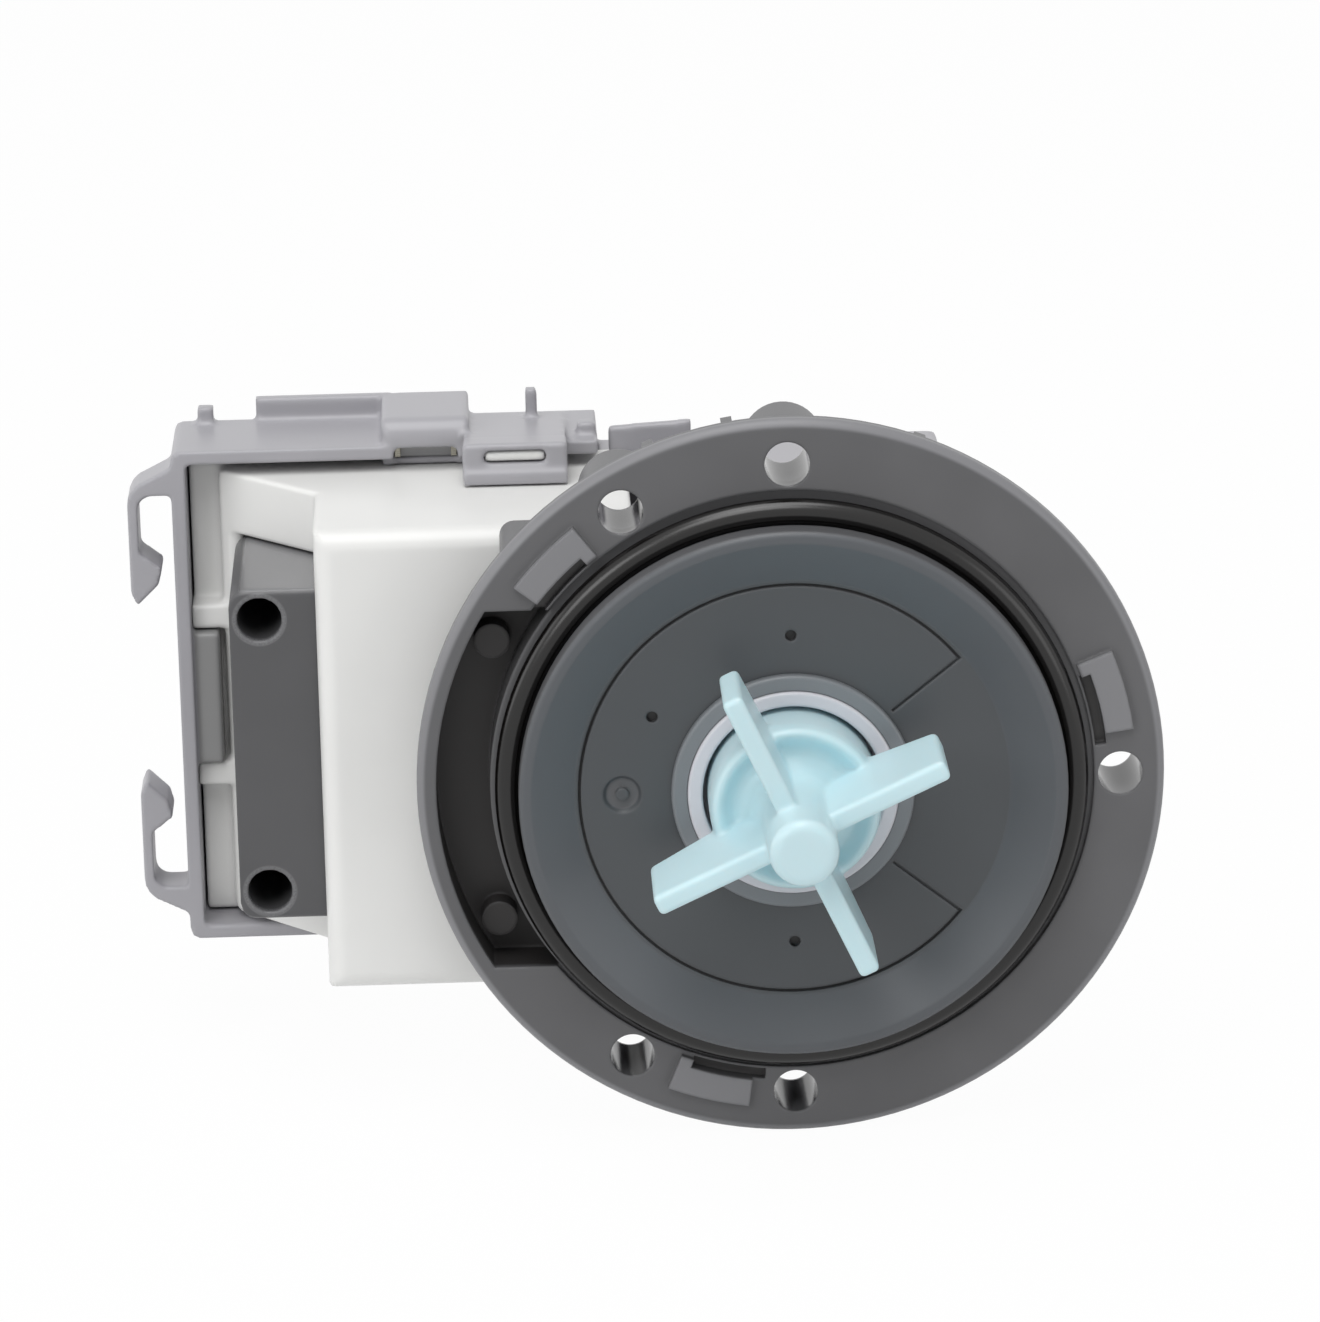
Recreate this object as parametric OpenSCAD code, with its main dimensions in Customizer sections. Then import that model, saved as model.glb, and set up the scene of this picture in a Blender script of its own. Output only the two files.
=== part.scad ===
// Washer drain pump: a round bolted flange with a wet rotor, a U-core motor and a clip-on rear cover.
// The origin is on the pump axis at the flange's front face. +Y runs back into the motor and +Z is up.
// Angles round the axis are counted from +X towards +Z.

/* [Flange] */
// Outer radius of the flange
flange_r = 50; // [48:0.5:56]
// Thickness of the flange plate
flange_t = 2.4; // [2:0.2:5]
// Rounding of the flange's front rim
rim_round = 1.3; // [0.5:0.1:1.8]
// Radius of the bolt circle
bolt_circle_r = 44; // [43.5:0.25:46]
// Radius of a bolt hole
bolt_hole_r = 3; // [2:0.25:3.5]
// Wall of the boss round a bolt hole
boss_wall = 2.4; // [1.5:0.1:3]
// Depth of the bolt bosses behind the front face
boss_depth = 12; // [8:0.5:14]
// Distance from the axis to the left side of the motor seat
seat_left = 38; // [34:0.5:40]
// Wall of the motor seat
seat_wall = 2; // [1.5:0.1:3]

/* [Spigot] */
// Radius of the spigot
spigot_r = 36.5; // [34:0.25:37]
// How far the spigot's rim stands in front of the flange
spigot_proud = 6.3; // [5:0.1:8]
// How far the spigot's inner face stands in front of the flange
face_proud = 3; // [2.5:0.1:4]
// Radius of the flat inner face, inside the dished ring
dish_r = 29; // [27:0.5:31]
// Wall of the spigot's face
disc_wall = 2.6; // [2:0.1:3]
// Wall of the spigot's side
spigot_wall = 3; // [2.2:0.1:4]
// Radius of the seal ring's cord
seal_cord_r = 1.75; // [1.25:0.05:2]
// Depth of the seal's seat below the flange face
seal_sink = 0.8; // [0.4:0.1:1.2]

/* [Flange details] */
// Half the height of the recess in the left of the flange
recess_half_z = 25; // [18:0.5:28]
// Depth of that recess
recess_depth = 8; // [6:0.5:9]
// Rim wall outside the recess
recess_rim = 2.6; // [1.5:0.1:3.5]
// Radius of the two posts in the recess
post_r = 2.4; // [2:0.1:3.5]
// Angle of each post from the -X direction
post_angle = 26.4; // [15:0.1:28]
// Angle that each lock tab spans
tab_span = 14; // [10:1:18]
// Inner radius of the lock tabs
tab_in_r = 42.3; // [41.8:0.1:44]
// Width of a lock tab
tab_w = 3.8; // [1.5:0.1:4]
// How far a lock tab stands in front of the flange
tab_proud = 1; // [0.5:0.1:1.5]

/* [Rotor can] */
// Inner radius of the rotor chamber
can_bore_r = 13.8; // [13:0.1:15]
// Wall of the rotor can
can_wall = 1.6; // [1.2:0.1:2.2]
// Wall of the raised ring round the can's mouth
mouth_wall = 2.1; // [1.6:0.1:3]
// How far that ring stands in front of the flange
mouth_proud = 4.2; // [3.6:0.1:4.5]

/* [Impeller] */
// Number of blades
blade_count = 4; // [3:1:6]
// Radius of the blade tips
blade_tip_r = 21; // [17:0.5:24]
// Thickness of a blade
blade_t = 2.8; // [2:0.1:4]
// Angle of the first blade
blade_angle = 25; // [0:1:89]
// How far the nose reaches in front of the flange
nose_front = 30; // [27:0.5:36]
// How far the blades reach in front of the flange
blade_front = 23.5; // [20:0.5:26]
// How far the blades' rear edge lies in front of the flange, at the tip
blade_rear = 10.8; // [9:0.2:14]
// Radius of the nose
nose_r = 4.6; // [3.5:0.1:6]
// Rounding of the nose's front edge
nose_round = 1.5; // [0.6:0.1:2]
// Radius of the drum
drum_r = 11.4; // [10.5:0.1:12.5]
// How far the drum's rim stands in front of the flange
drum_proud = 6.8; // [6:0.1:8]
// Wall of the drum
drum_wall = 1.5; // [1.2:0.1:2]
// Angle that the cam and the drum's stop each take up
dog_span = 60; // [40:1:80]

/* [Shaft and bearings] */
// Radius of the shaft
shaft_r = 2; // [1.5:0.1:2.5]
// Outer radius of the bearing bushes
bush_r = 5; // [4:0.1:5.5]
// Length of the front bush
front_bush_len = 9; // [6:0.5:10]
// Length of the rear bush
rear_bush_len = 5.4; // [4:0.2:7]
// Wall of the rear bush's rubber seat
grommet_wall = 2.4; // [1.6:0.1:3]
// Wall of the collar that shows round the drum
collar_wall = 2; // [1.5:0.1:2.5]
// How far the collar stands in front of the flange
collar_proud = 4.7; // [4.5:0.1:5.5]
// Radius of the rotor magnet
magnet_r = 13.2; // [11.5:0.1:13.4]

/* [Core and coils] */
// Thickness of the lamination stack
stack_t = 21; // [16:0.5:26]
// Half the gap between the core's legs
leg_gap_half = 8; // [7:0.25:9]
// Thickness of a leg of the core
leg_t = 13.5; // [11:0.25:14]
// Thickness of the core's yoke
yoke_t = 15; // [12:0.5:17]
// Length of a bobbin
bobbin_len = 33.8; // [26:0.2:38]
// Wall of a bobbin
bobbin_wall = 1; // [0.8:0.1:1.4]
// Iron beyond the pole bore at the free end
pole_wall = 6.4; // [5.5:0.1:8]
// Radius of a stack screw's thread
screw_r = 2; // [1.5:0.1:2.2]

/* [Coil housing and yoke cap] */
// Distance from the flange face to the housing's front
housing_front = 13; // [12:0.5:16]
// Wall of the coil housing
housing_wall = 1.5; // [1.2:0.1:2]
// Room between the bobbins and the housing above and below
housing_room = 1.8; // [1.4:0.1:2.5]
// Rounding of the housing's front edges
housing_round = 2.6; // [1:0.1:4]
// Distance from the flange face to the yoke cap's front
cap_front = 18; // [17:0.5:20]
// Wall of the yoke cap above and below the yoke
cap_wall = 2; // [1.5:0.1:2.6]
// Thickness of the yoke cap at its left end
cap_end = 5.6; // [4.6:0.1:7]
// Radius of the yoke cap's holes
cap_hole_r = 3; // [2:0.25:3.25]

/* [Rear cover] */
// Wall of the rear cover
cover_wall = 2; // [1.6:0.1:2.6]
// Rounding of the cover's rear edges
cover_round = 1.2; // [1:0.1:3]
// Gap between the housing and the cover's left wall
cover_left_gap = 4.5; // [3.5:0.25:6]
// Gap between the housing and the cover's top wall
cover_top_gap = 1.6; // [1.2:0.1:2.4]
// Gap between the housing and the cover's bottom wall
cover_bottom_gap = 0.8; // [0.5:0.1:2]
// How far a hook reaches out from the cover
hook_reach = 6.2; // [6:0.1:9]
// Thickness of a hook's arm
hook_arm = 1.4; // [1.2:0.1:2]
// Width of a hook, front to back
hook_w = 7; // [4:0.5:12]
// Height of the upper hook's root, where its gap ends
hook_top_z = 29.8; // [26:0.2:31]
// Depth below the axis of the lower hook's root
hook_bottom_z = 27.4; // [24:0.2:28]
// Inside width of the connector socket
socket_w = 9.6; // [8.8:0.2:12]
// Inside height of the connector socket
socket_h = 4.6; // [4.4:0.1:6]
// Width of the latch loop
latch_w = 14.4; // [10:0.2:16]

/* [Clearances] */
// Gap of a piece that is pressed or laid in its seat
seat_gap = 0.05; // [0.02:0.01:0.1]
// Gap of a moulded cover over what it holds
slip_gap = 0.2; // [0.1:0.05:0.4]
// Radial gap of the shaft in its bearings
running_gap = 0.04; // [0.02:0.01:0.08]
// Gap beside pieces that turn
turn_gap = 0.3; // [0.2:0.05:0.5]

/* [Hidden] */
$fn = 72;
lap = 0.3;
past = 1;

// Flange
bolt_angles = [0, 90, 120, 240, 270];
tab_angles = [15, 135, 255];
tab_stop_sides = [1, -1, -1];
tab_stop_span = 2.4;
tab_pocket_depth = 1.4;
boss_r = bolt_hole_r + boss_wall;
rib_angles = [68, 99, 112];
rib_t = 1.5;
rib_depth = 10;
rib_out_r = flange_r - 1.4;
rib_in_r = bolt_circle_r - 3;
web_count = 8;
web_t = 1.6;
recess_floor_t = 1.5;
post_front = recess_depth - 3.5;
recess_back_r = flange_r - 1.4;

// Spigot and its seal
spigot_edge = 0.8;
spigot_rim_w = 1.6;
seal_undercut = 0.45;
seal_room = 0.9;
seal_in_r = spigot_r - seal_undercut;
seal_ring_r = seal_in_r + seat_gap + seal_cord_r;
seal_y = seal_sink - seat_gap - seal_cord_r;
seal_groove_front = seal_y - seal_cord_r - seat_gap;
seal_out_r = seal_ring_r + seal_cord_r + seal_room;
pocket_r = spigot_r - spigot_wall;
face_back = disc_wall - face_proud;
dish_slope = (spigot_proud - face_proud) / (spigot_r - spigot_rim_w - dish_r);
pocket_front = face_back - dish_slope * (pocket_r - dish_r);
line_w = 0.4;
line_depth = 0.5;
line_angle = 38.5;
line_in_r = 17;
dot_r = 0.75;
dot_depth = 1;
dot_circle_r = 21.4;
dot_angles = [90, 150, 270];
dimple_r = 2.9;
dimple_core_r = 0.9;
dimple_depth = 0.6;
dimple_slope = 0.8;
dimple_circle_r = 22.7;

// Rotor can, drum and bearing carrier, from front to back
can_out_r = can_bore_r + can_wall;
hub_bore_r = can_out_r + seat_gap;
hub_sleeve_r = hub_bore_r + 2;
hub_sleeve_back = 6;
carrier_step = 0.3;
can_seat_r = can_bore_r + carrier_step;
mouth_r = can_seat_r + mouth_wall;
mouth_round = 0.5;
carrier_r = can_seat_r - seat_gap;
cup_r = carrier_r - collar_wall;
drum_front_t = 1.4;
clutch_depth = 4.4;
drum_cap_t = 1.2;
drum_in_r = drum_r - drum_wall;
drum_in_front = -drum_proud + drum_front_t;
drum_cap_front = drum_in_front + clutch_depth;
drum_back = drum_cap_front + drum_cap_t;
cup_floor = drum_back + 2 * turn_gap;
carrier_web_t = 2.6;
shaft_seal_t = 2.1;
shaft_seal_r = bush_r - 0.5;
front_bush_y = cup_floor + shaft_seal_t + 2 * seat_gap;
front_bush_end = front_bush_y + front_bush_len;
carrier_ring_cord_r = 0.95;
carrier_ring_y = cup_floor + carrier_web_t + 2.2;
carrier_groove_half = carrier_ring_cord_r + 0.2;
carrier_groove_r = carrier_r - 2 * carrier_ring_cord_r - seat_gap;
carrier_seat_y = carrier_ring_y + carrier_groove_half + 2.4;
carrier_hub_r = bush_r + seat_gap + 2.2;
carrier_hollow_r = carrier_groove_r - 1.1;
washer_t = 1;
washer_r = shaft_r + 2.5;
front_washer_y = front_bush_end + 2 * seat_gap;
hub_front = front_washer_y + washer_t + seat_gap;

// Core, coils and housing, from front to back
bobbin_gap = 0.2;
bobbin_split = 0.3;
bobbin_flange_t = 1.5;
bobbin_round = 1;
flange_round = 2.5;
winding_round = 3.5;
bobbin_flange_h = leg_gap_half - bobbin_gap - bobbin_wall - bobbin_split;
winding_inset = 0.5;
coil_build = bobbin_gap + bobbin_wall + bobbin_flange_h;
stack_front = housing_front + housing_wall + lap + coil_build;
stack_back = stack_front + stack_t;
housing_back = stack_back + coil_build + lap + housing_wall;
core_half_z = leg_gap_half + leg_t;
bobbin_out_z = core_half_z + coil_build;
housing_half_z = bobbin_out_z + housing_room + housing_wall;

// Rotor, from front to back
magnet_over = 2;
magnet_front = stack_front - magnet_over;
magnet_back = stack_back + magnet_over;
hub_flange_t = 1;
hub_flange_r = magnet_r - 1.2;
hub_core_r = shaft_r + 3.5;
hub_neck_r = shaft_r + 2.5;
hub_back = magnet_back + hub_flange_t;
rear_washer_y = hub_back + seat_gap;
can_floor = hub_back + 0.9;
rear_bush_y = rear_washer_y + washer_t + 2 * seat_gap;
rear_bush_end = rear_bush_y + rear_bush_len;
grommet_r = bush_r + seat_gap + grommet_wall;
bearing_pocket_r = grommet_r + seat_gap;
bearing_pocket_end = rear_bush_end + seat_gap;
can_end = bearing_pocket_end + can_wall;
shaft_back = rear_bush_end - 0.5;
shaft_front = -nose_front + 4;
shaft_chamfer = 0.4;

// Starting clutch
cam_hub_r = shaft_r + 2.2;
dog_gap = turn_gap + 0.2;

// Core, coils and housing, from right to left
core_bore_r = can_out_r + turn_gap;
pole_end_x = core_bore_r + pole_wall;
pole_lip = 4.3;
pole_slot_half = 2.5;
window_right_x = -(core_bore_r + pole_lip);
bobbin_right_x = window_right_x - slip_gap;
bobbin_left_x = bobbin_right_x - bobbin_len;
yoke_inner_x = bobbin_left_x - slip_gap;
yoke_outer_x = yoke_inner_x - yoke_t;
yoke_chamfer = 9.7;
housing_lap = 8.8;
tail_round = 1;
housing_left_x = yoke_inner_x - housing_lap;
cap_left_x = yoke_outer_x - cap_end;
cap_right_x = housing_left_x + housing_wall - slip_gap;
cap_half_z = core_half_z + cap_wall;
cap_back = stack_back + 2.8;
cap_round = 2.4;
cap_hole_edge = cap_hole_r + 1.1;
cap_hole_x = cap_left_x + cap_hole_edge;
cap_hole_z = cap_half_z - cap_hole_edge;
housing_tail_x = cap_left_x - 1.9;
slant_run = 19;
slant_front = housing_back - slant_run;
slant_back = slant_front + housing_left_x - housing_tail_x;
screw_x = pole_end_x - 4.6;
screw_z = core_half_z - 4;
screw_clear = 0.3;
screw_boss_r = screw_r + 2;
screw_head_r = 1.8 * screw_r;
screw_head_t = 1.3 * screw_r;
screw_pilot_y = 8;
seat_half_z = housing_half_z + 1.3;
seat_right_x = pole_end_x + seat_wall;
seat_back = housing_front - slip_gap;

// Rear cover
cover_front = stack_back + 0.5;
cover_room = 5.4;
cover_back = can_end + cover_room + cover_wall;
cover_left_x = housing_tail_x - cover_left_gap - cover_wall;
cover_right_x = pole_end_x + slip_gap + cover_wall;
cover_top_z = housing_half_z + cover_top_gap + cover_wall;
cover_bottom_z = -(housing_half_z + cover_bottom_gap + cover_wall);
cover_corner = 1.4;
ear_z = 11.5;
ear_h = 3.5;
ear_front = slant_back - 1.2;
ear_back = slant_back + 3.8;
skirt_front = slant_back + 2.6;
skirt_back = skirt_front + 2;
skirt_half_z = housing_half_z + 0.5;
stop_block_t = 3.8;
stop_block_half_z = ear_z - ear_h / 2 - slip_gap;
hook_root = 2.4;
hook_round = 3.6;
hook_gap_round = 2;
hook_len = 15.8;
hook_barb = 3.1;
hook_barb_from = 8;
hook_barb_peak = 10.4;
hook_barb_to = 12.8;
hook_barb_ease = 0.6;
hook_tip_in = 0.8;
hook_tip_l = 2;
hook_foot = 2.2;
hook_sweep = 75;

// Latch, connector and small features on the cover's top
latch_right_x = -28.3;
latch_left_x = latch_right_x - latch_w;
latch_front = cover_front - 9;
latch_bar_t = 2;
latch_heel = cover_back - cover_wall;
latch_edge = 0.3;
latch_top_z = cover_top_z + 2.3;
latch_plate_t = 0.9;
latch_heel_z = cover_top_z + 0.2;
latch_lip = 0.7;
latch_lip_h = 1.5;
latch_bottom_z = housing_half_z + turn_gap;
window_edge = 2.9;
window_bottom_z = latch_bottom_z + 2.8;
window_h = 1.8;
catch_flat = 0.8;
catch_toe = 0.4;
catch_front = latch_front + 0.4;
catch_back = latch_front + latch_bar_t + slip_gap;
socket_wall = 1.3;
socket_round = 1.5;
socket_right_x = latch_left_x - 0.3;
socket_left_x = socket_right_x - socket_w;
socket_floor_t = 1;
slot_inset = 0.4;
slot_h = 1.6;
rim_inner_z = cover_top_z - cover_wall;
socket_floor_z = housing_half_z + slip_gap + socket_floor_t;
socket_top_z = socket_floor_z + socket_h;
socket_front = cover_front + 2;
socket_lip = socket_front + 0.6;
socket_roof_z = socket_top_z + socket_wall;
shroud_left_x = socket_left_x - 19;
shroud_edge = 0.4;
shroud_top_z = socket_roof_z - 0.35;
socket_roll = 2.6;
tab_t = 0.8;
tab_leg_l = 1.8;
tab_inset = 0.9;
tab_point = 0.8;
tab_front = socket_front + 1;
tab_back = cover_back - 1.6;
tab_leg_front = housing_back + 0.4;
tab_tall = socket_h - 1;
tab_leg_end_z = bobbin_out_z - 8;
peg_x = cover_left_x + 3.4;
peg_w = 2.2;
peg_l = 2.5;
peg_h = 2.4;
peg_back = cover_back - cover_wall / 2;
pin_x = latch_right_x - 5.4;
pin_w = 1.6;
pin_l = 2;
pin_h = 4.7;
pin_front = cover_front + 11;
guide_post_x = latch_right_x + 1.6;
guide_post_w = 2.6;
guide_post_l = 3;
guide_post_h = 1.8;
guide_post_front = cover_front + 3;
cover_step_x = guide_post_x + guide_post_w + slip_gap;
cover_step_z = housing_half_z - 1;
guide_plate_x = cover_step_x + 1.6;
guide_plate_w = 11.5;
guide_plate_t = 1.6;
guide_plate_top_z = cover_top_z + 1.2;
guide_plate_fall = 0.7;
guide_plate_front = cover_front + 5;

dark_grey = [0.36, 0.36, 0.37];
mid_grey = [0.40, 0.40, 0.41];
light_grey = [0.70, 0.70, 0.71];
white_plastic = [0.93, 0.93, 0.92];
black_rubber = [0.07, 0.06, 0.05];
steel = [0.75, 0.75, 0.77];
copper = [0.72, 0.42, 0.22];
pale_blue = [0.72, 0.90, 0.94];

// Points of a round stretch of outline
function arc(cx, cy, r, a0, a1, steps = 6) =
    [for (i = [0:steps]) let (a = a0 + (a1 - a0) * i / steps) [cx + r * cos(a), cy + r * sin(a)]];

// Rectangle with round corners
function round_rect(x0, x1, y0, y1, r) = concat(
    arc(x1 - r, y1 - r, r, 0, 90), arc(x0 + r, y1 - r, r, 90, 180),
    arc(x0 + r, y0 + r, r, 180, 270), arc(x1 - r, y0 + r, r, 270, 360));

// Solid with its outline in X and Z, from y0 back to y1
module slab(y0, y1) {
    translate([0, y1, 0]) rotate([90, 0, 0]) linear_extrude(y1 - y0) children();
}

// Solid with its outline in Y and Z, from x0 right to x1
module bar(x0, x1) {
    translate([x0, 0, 0]) rotate([90, 0, 90]) linear_extrude(x1 - x0) children();
}

// Solid with its outline in X and Y, from z0 up to z1
module block(z0, z1) {
    translate([0, 0, z0]) linear_extrude(z1 - z0) children();
}

// Turned solid on the pump axis, from an outline of radius and y
module turned(points) {
    rotate([-90, 0, 0]) rotate_extrude() polygon(points);
}

// Round bar along Y
module rod(x, z, y0, y1, r) {
    translate([x, y0, z]) rotate([-90, 0, 0]) cylinder(h = y1 - y0, r = r);
}

// Round bar along Y at a radius and an angle from the pump axis
module polar_rod(ring_r, angle, y0, y1, r) {
    rod(ring_r * cos(angle), ring_r * sin(angle), y0, y1, r);
}

// Part of a flat ring, under half a turn
module ring_sector(r0, r1, a0, a1) {
    intersection() {
        difference() {
            circle(r1);
            circle(r0);
        }
        polygon([[0, 0], 2 * r1 * [cos(a0), sin(a0)], 2 * r1 * [cos((a0 + a1) / 2), sin((a0 + a1) / 2)],
            2 * r1 * [cos(a1), sin(a1)]]);
    }
}

// Bar that runs out from the axis at an angle
module spoke(angle, r0, r1, y0, y1, t) {
    rotate([0, -angle, 0]) translate([r0, y0, -t / 2]) cube([r1 - r0, y1 - y0, t]);
}

// Box between two values each of X, Y and Z
module box(x0, x1, y0, y1, z0, z1) {
    translate([x0, y0, z0]) cube([x1 - x0, y1 - y0, z1 - z0]);
}

// Turned outline of the flange plate, the spigot and the sleeve that holds the rotor can
flange_outline = concat(
    [[hub_bore_r, hub_sleeve_back], [hub_bore_r, -face_proud], [dish_r, -face_proud],
        [spigot_r - spigot_rim_w, -spigot_proud]],
    arc(spigot_r - spigot_edge, -spigot_proud + spigot_edge, spigot_edge, 270, 360),
    [[spigot_r, seal_groove_front], [seal_in_r, seal_groove_front], [seal_in_r, seal_sink],
        [seal_out_r, seal_sink], [seal_out_r, 0]],
    arc(flange_r - rim_round, rim_round, rim_round, 270, 360),
    [[flange_r, flange_t], [pocket_r, flange_t], [pocket_r, pocket_front], [dish_r, face_back],
        [hub_sleeve_r, face_back], [hub_sleeve_r, hub_sleeve_back]]);

// Bosses, seat and ribs behind the flange plate
module flange_back() {
    back_face = flange_t - lap;
    for (a = bolt_angles) polar_rod(bolt_circle_r, a, back_face, boss_depth, boss_r);
    for (a = rib_angles) spoke(a, rib_in_r, rib_out_r, back_face, rib_depth, rib_t);
    for (i = [0:web_count - 1])
        spoke((i + 0.5) * 360 / web_count, hub_sleeve_r - lap, pocket_r + lap, face_back - lap, back_face,
            web_t);
    slab(back_face, seat_back) difference() {
        polygon(round_rect(-seat_left, seat_right_x, -seat_half_z, seat_half_z, seat_wall));
        polygon(round_rect(-seat_left + seat_wall, seat_right_x - seat_wall,
            -seat_half_z + seat_wall, seat_half_z - seat_wall, seat_wall / 2));
    }
    for (side = [-1, 1]) rod(screw_x, side * screw_z, face_back - lap, stack_front - seat_gap, screw_boss_r);
    slab(back_face, recess_depth + recess_floor_t) intersection() {
        difference() {
            circle(recess_back_r);
            circle(seal_in_r);
        }
        wall_half_z = recess_half_z + recess_floor_t;
        translate([-flange_r, -wall_half_z]) square([flange_r, 2 * wall_half_z]);
    }
}

// Recess, pockets and fine lines cut in the flange
module flange_cuts() {
    for (a = bolt_angles) polar_rod(bolt_circle_r, a, -past, boss_depth + past, bolt_hole_r);
    for (side = [-1, 1]) rod(screw_x, side * screw_z, screw_pilot_y, stack_front + past, screw_r + seat_gap);
    slab(-past, recess_depth) difference() {
        intersection() {
            difference() {
                circle(flange_r - recess_rim);
                circle(seal_out_r - lap);
            }
            translate([-flange_r, -recess_half_z]) square([flange_r, 2 * recess_half_z]);
        }
        for (side = [-1, 1]) {
            a = 180 + side * post_angle;
            translate(bolt_circle_r * [cos(a), sin(a)]) circle(post_r);
        }
    }
    for (side = [-1, 1]) polar_rod(bolt_circle_r, 180 + side * post_angle, -past, post_front, post_r + lap);
    for (i = [0:len(tab_angles) - 1]) {
        shift_a = -tab_stop_sides[i] * tab_stop_span;
        slab(-tab_proud - past, tab_pocket_depth) ring_sector(seal_out_r + lap, tab_in_r,
            tab_angles[i] - tab_span / 2 + shift_a, tab_angles[i] + tab_span / 2 + shift_a);
    }
    line_r = dish_r - line_w;
    slab(-face_proud - past, -face_proud + line_depth) {
        difference() {
            circle(line_r);
            circle(line_r - line_w);
            polygon([[0, 0], 2 * dish_r * [cos(line_angle), -sin(line_angle)],
                2 * dish_r * [cos(line_angle), sin(line_angle)]]);
        }
        for (side = [-1, 1]) rotate(side * line_angle)
            translate([line_in_r, -line_w / 2]) square([line_r - line_in_r, line_w]);
    }
    for (a = dot_angles) polar_rod(dot_circle_r, a, -face_proud - past, -face_proud + dot_depth, dot_r);
    translate([-dimple_circle_r, -face_proud, 0]) rotate([90, 0, 0]) rotate_extrude()
        polygon([[dimple_core_r, -dimple_depth], [dimple_r - dimple_slope, -dimple_depth], [dimple_r, lap],
            [dimple_core_r, lap]]);
}

// Lock tabs on the front face, each an arc with a stop at one end
module lock_tabs() {
    for (i = [0:len(tab_angles) - 1]) {
        a = tab_angles[i];
        slab(-tab_proud, tab_pocket_depth / 2)
            ring_sector(seal_out_r + 2 * lap, tab_in_r + tab_w, a - tab_span / 2, a + tab_span / 2);
    }
}

module pump_flange() {
    color(dark_grey) difference() {
        union() {
            turned(flange_outline);
            flange_back();
            lock_tabs();
        }
        flange_cuts();
    }
}

// Thin can between the rotor and the core, with a rim on the spigot's face
module rotor_can() {
    rim_back = -face_proud - seat_gap;
    shoulder = can_floor + can_wall;
    tail_r = bearing_pocket_r + can_wall;
    color(dark_grey) turned(concat(
        [[can_bore_r, can_floor], [can_bore_r, carrier_seat_y], [can_seat_r, carrier_seat_y],
            [can_seat_r, -mouth_proud]],
        arc(mouth_r - mouth_round, -mouth_proud + mouth_round, mouth_round, 270, 360),
        [[mouth_r, rim_back], [can_out_r, rim_back], [can_out_r, shoulder], [tail_r, shoulder],
            [tail_r, can_end], [0, can_end], [0, bearing_pocket_end], [bearing_pocket_r, bearing_pocket_end],
            [bearing_pocket_r, can_floor]]));
}

module flange_o_ring() {
    color(black_rubber) rotate([-90, 0, 0]) rotate_extrude()
        translate([seal_ring_r, seal_y]) circle(seal_cord_r);
}

// Cup in the mouth of the can that carries the front bush
module bearing_carrier() {
    carrier_back = carrier_seat_y - seat_gap;
    web_back = cup_floor + carrier_web_t;
    groove_front = carrier_ring_y - carrier_groove_half;
    groove_back = carrier_ring_y + carrier_groove_half;
    edge = 0.4;
    color(light_grey) turned(concat(
        [[shaft_seal_r + seat_gap, cup_floor], [cup_r, cup_floor]],
        arc(cup_r + edge, -collar_proud + edge, edge, 180, 270),
        arc(carrier_r - edge, -collar_proud + edge, edge, 270, 360),
        [[carrier_r, groove_front], [carrier_groove_r, groove_front], [carrier_groove_r, groove_back],
            [carrier_r, groove_back],
            [carrier_r, carrier_back], [carrier_hollow_r, carrier_back], [carrier_hollow_r, web_back],
            [carrier_hub_r, web_back], [carrier_hub_r, front_bush_end], [bush_r + seat_gap, front_bush_end],
            [bush_r + seat_gap, front_bush_y - seat_gap],
            [shaft_seal_r + seat_gap, front_bush_y - seat_gap]]));
}

module carrier_o_ring() {
    ring_r = carrier_r - carrier_ring_cord_r;
    color(black_rubber) rotate([-90, 0, 0]) rotate_extrude()
        translate([ring_r, carrier_ring_y]) circle(carrier_ring_cord_r);
}

module shaft_seal() {
    bore = shaft_r + running_gap;
    y0 = cup_floor + seat_gap;
    y1 = y0 + shaft_seal_t - seat_gap;
    lip = 0.7;
    color(black_rubber) turned([[bore, y1 - lip], [bore + lip, y0], [shaft_seal_r, y0], [shaft_seal_r, y1],
        [bore + lip, y1], [bore, y1 - lip / 2]]);
}

// Plain bush on the shaft
module bush(y, length) {
    edge = 0.3;
    bore = shaft_r + running_gap;
    turned([[bore, y], [bush_r - edge, y], [bush_r, y + edge], [bush_r, y + length - edge],
        [bush_r - edge, y + length], [bore, y + length]]);
}

module front_bush() {
    color(mid_grey) bush(front_bush_y, front_bush_len);
}

module rear_bush() {
    color(mid_grey) bush(rear_bush_y, rear_bush_len);
}

module rear_grommet() {
    bore = bush_r + seat_gap;
    waist = 0.5;
    third = rear_bush_len / 3;
    first = rear_bush_y + third;
    second = rear_bush_y + 2 * third;
    color(black_rubber) turned([[bore, rear_bush_y], [grommet_r, rear_bush_y], [grommet_r, first],
        [grommet_r - waist, first + waist], [grommet_r - waist, second - waist], [grommet_r, second],
        [grommet_r, rear_bush_end], [bore, rear_bush_end]]);
}

// Outline of the core's outside, grown by a gap
module core_outline(gap = 0) {
    left = yoke_outer_x - gap;
    right = pole_end_x + gap;
    half = core_half_z + gap;
    polygon([[right, -half], [right, half], [left + yoke_chamfer, half], [left, half - yoke_chamfer],
        [left, -half + yoke_chamfer], [left + yoke_chamfer, -half]]);
}

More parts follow.
